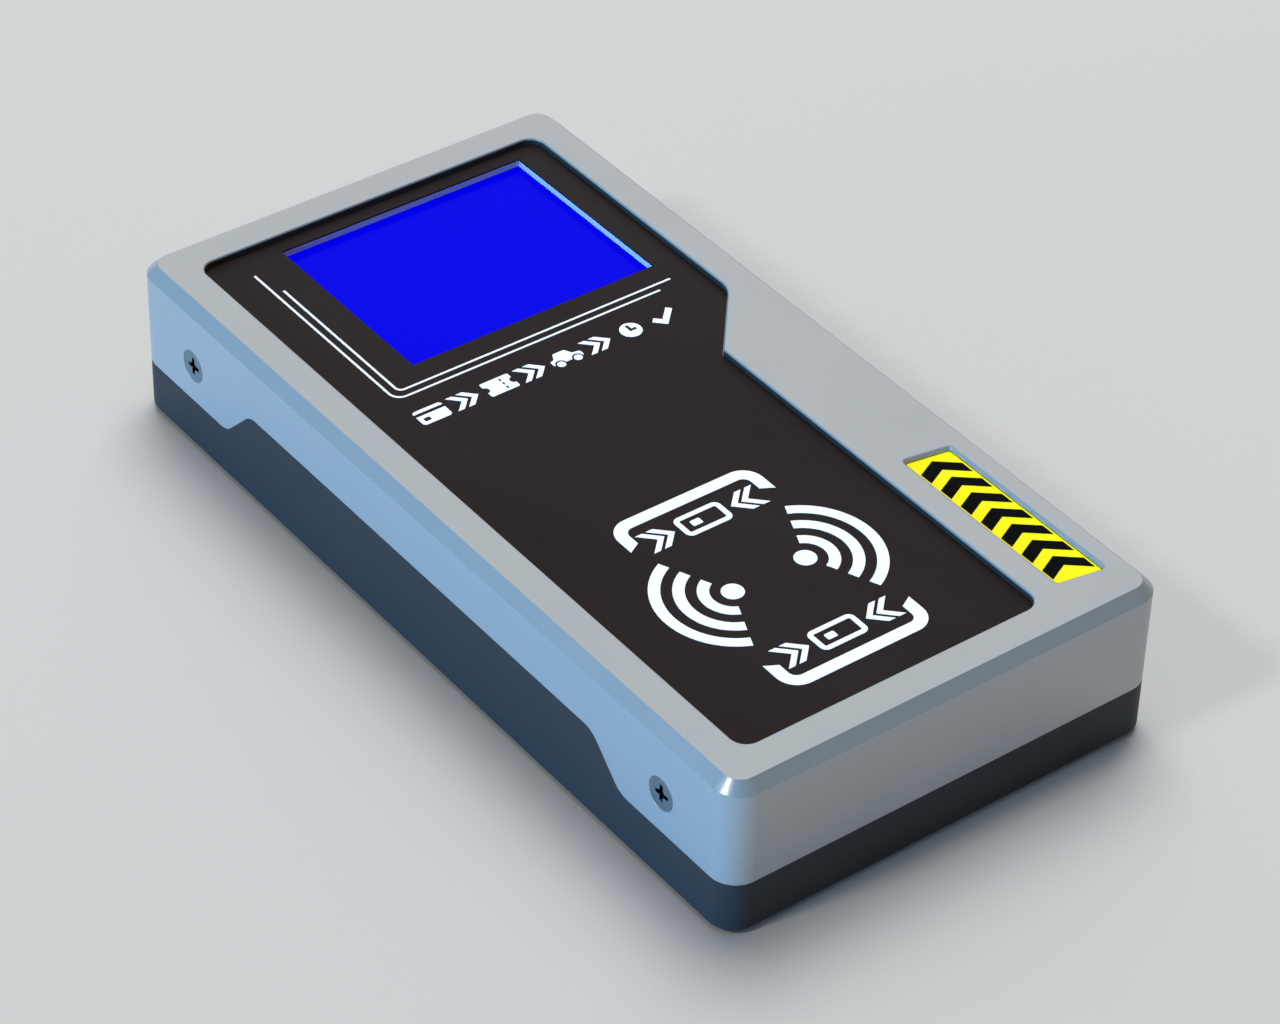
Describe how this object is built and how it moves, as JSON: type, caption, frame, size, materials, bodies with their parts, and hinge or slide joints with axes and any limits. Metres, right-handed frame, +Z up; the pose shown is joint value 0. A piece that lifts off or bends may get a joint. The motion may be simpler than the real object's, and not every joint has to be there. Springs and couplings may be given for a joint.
{
  "type": "parking validation terminal",
  "caption": "Flat desk-top parking validation terminal: a two-part case with a recessed front panel, a screen window, a contactless card reader and rear sockets.",
  "frame": {"origin": "on the desk surface, under the middle of the case's outline", "axes": "+X is the user's right, +Y points away from the user towards the screen end, +Z is up"},
  "size_m": [0.09, 0.175, 0.0315],
  "materials": {
    "dark_abs": "fine moulded texture, dark blue-grey",
    "silver_paint": "matte silver paint over a fine moulded texture",
    "panel_film": "dark brown-black, fine matte grain",
    "adhesive": "double-sided film",
    "white_ink": "screen-printed white",
    "yellow_label": "satin yellow",
    "black_ink": "screen-printed black",
    "screw_steel": "zinc-plated steel",
    "brass": "turned brass",
    "rubber": "matte rubber",
    "blank_label": "blank satin label",
    "board_green": "green solder mask",
    "display_glass": "lit blue display face",
    "white_plastic": "moulded white",
    "cable_white": "flat film cable",
    "socket_ivory": "moulded ivory",
    "copper_track": "etched copper",
    "chip_black": "moulded epoxy",
    "tin_leads": "tinned leads",
    "can_metal": "drawn can",
    "black_plastic": "moulded black",
    "ferrite": "ferrite",
    "cell_steel": "stainless cell",
    "contact_nickel": "nickel-plated contact",
    "shield_metal": "tinned sheet metal",
    "contact_gold": "gold-plated wire"
  },
  "bodies": {
    "root": {"lower_shell": "dark_abs", "upper_shell": "silver_paint", "front_panel": "panel_film", "panel_adhesive": "adhesive", "panel_print": "white_ink", "badge_plate": "yellow_label", "badge_print": "black_ink", "case_screws": "screw_steel", "thread_inserts": "brass", "rubber_feet": "rubber", "rating_label": "blank_label", "main_board": "board_green", "main_board_screws": "screw_steel", "screen_glass": "display_glass", "screen_backlight": "white_plastic", "screen_board": "board_green", "screen_screws": "screw_steel", "screen_cable": "cable_white", "screen_cable_sockets": "socket_ivory", "reader_board": "board_green", "reader_screws": "screw_steel", "antenna_coil": "copper_track", "reader_chip": "chip_black", "reader_cable": "cable_white", "reader_cable_sockets": "socket_ivory", "processor": "chip_black", "processor_leads": "tin_leads", "network_chip": "chip_black", "network_transformer": "chip_black", "crystal": "can_metal", "buzzer": "black_plastic", "capacitors": "can_metal", "inductor": "ferrite", "regulator": "chip_black", "coin_cell": "cell_steel", "coin_cell_holder": "black_plastic", "power_jack": "black_plastic", "power_jack_pin": "contact_nickel", "network_jack_shield": "shield_metal", "network_jack_insert": "black_plastic", "network_jack_contacts": "contact_gold", "switch_body": "shield_metal", "reset_switch_body": "black_plastic"},
    "power_lever": {"power_lever": "black_plastic"},
    "reset_plunger": {"reset_plunger": "white_plastic"}
  },
  "joints": [
    {"name": "power_lever_slide", "type": "slide", "parent": "root", "child": "power_lever", "axis": [1, 0, 0], "range_m": [0, 0.003]},
    {"name": "reset_press", "type": "slide", "parent": "root", "child": "reset_plunger", "axis": [0, -1, 0], "range_m": [0, 0.00025], "stiffness_N_per_m": 6000}
  ]
}
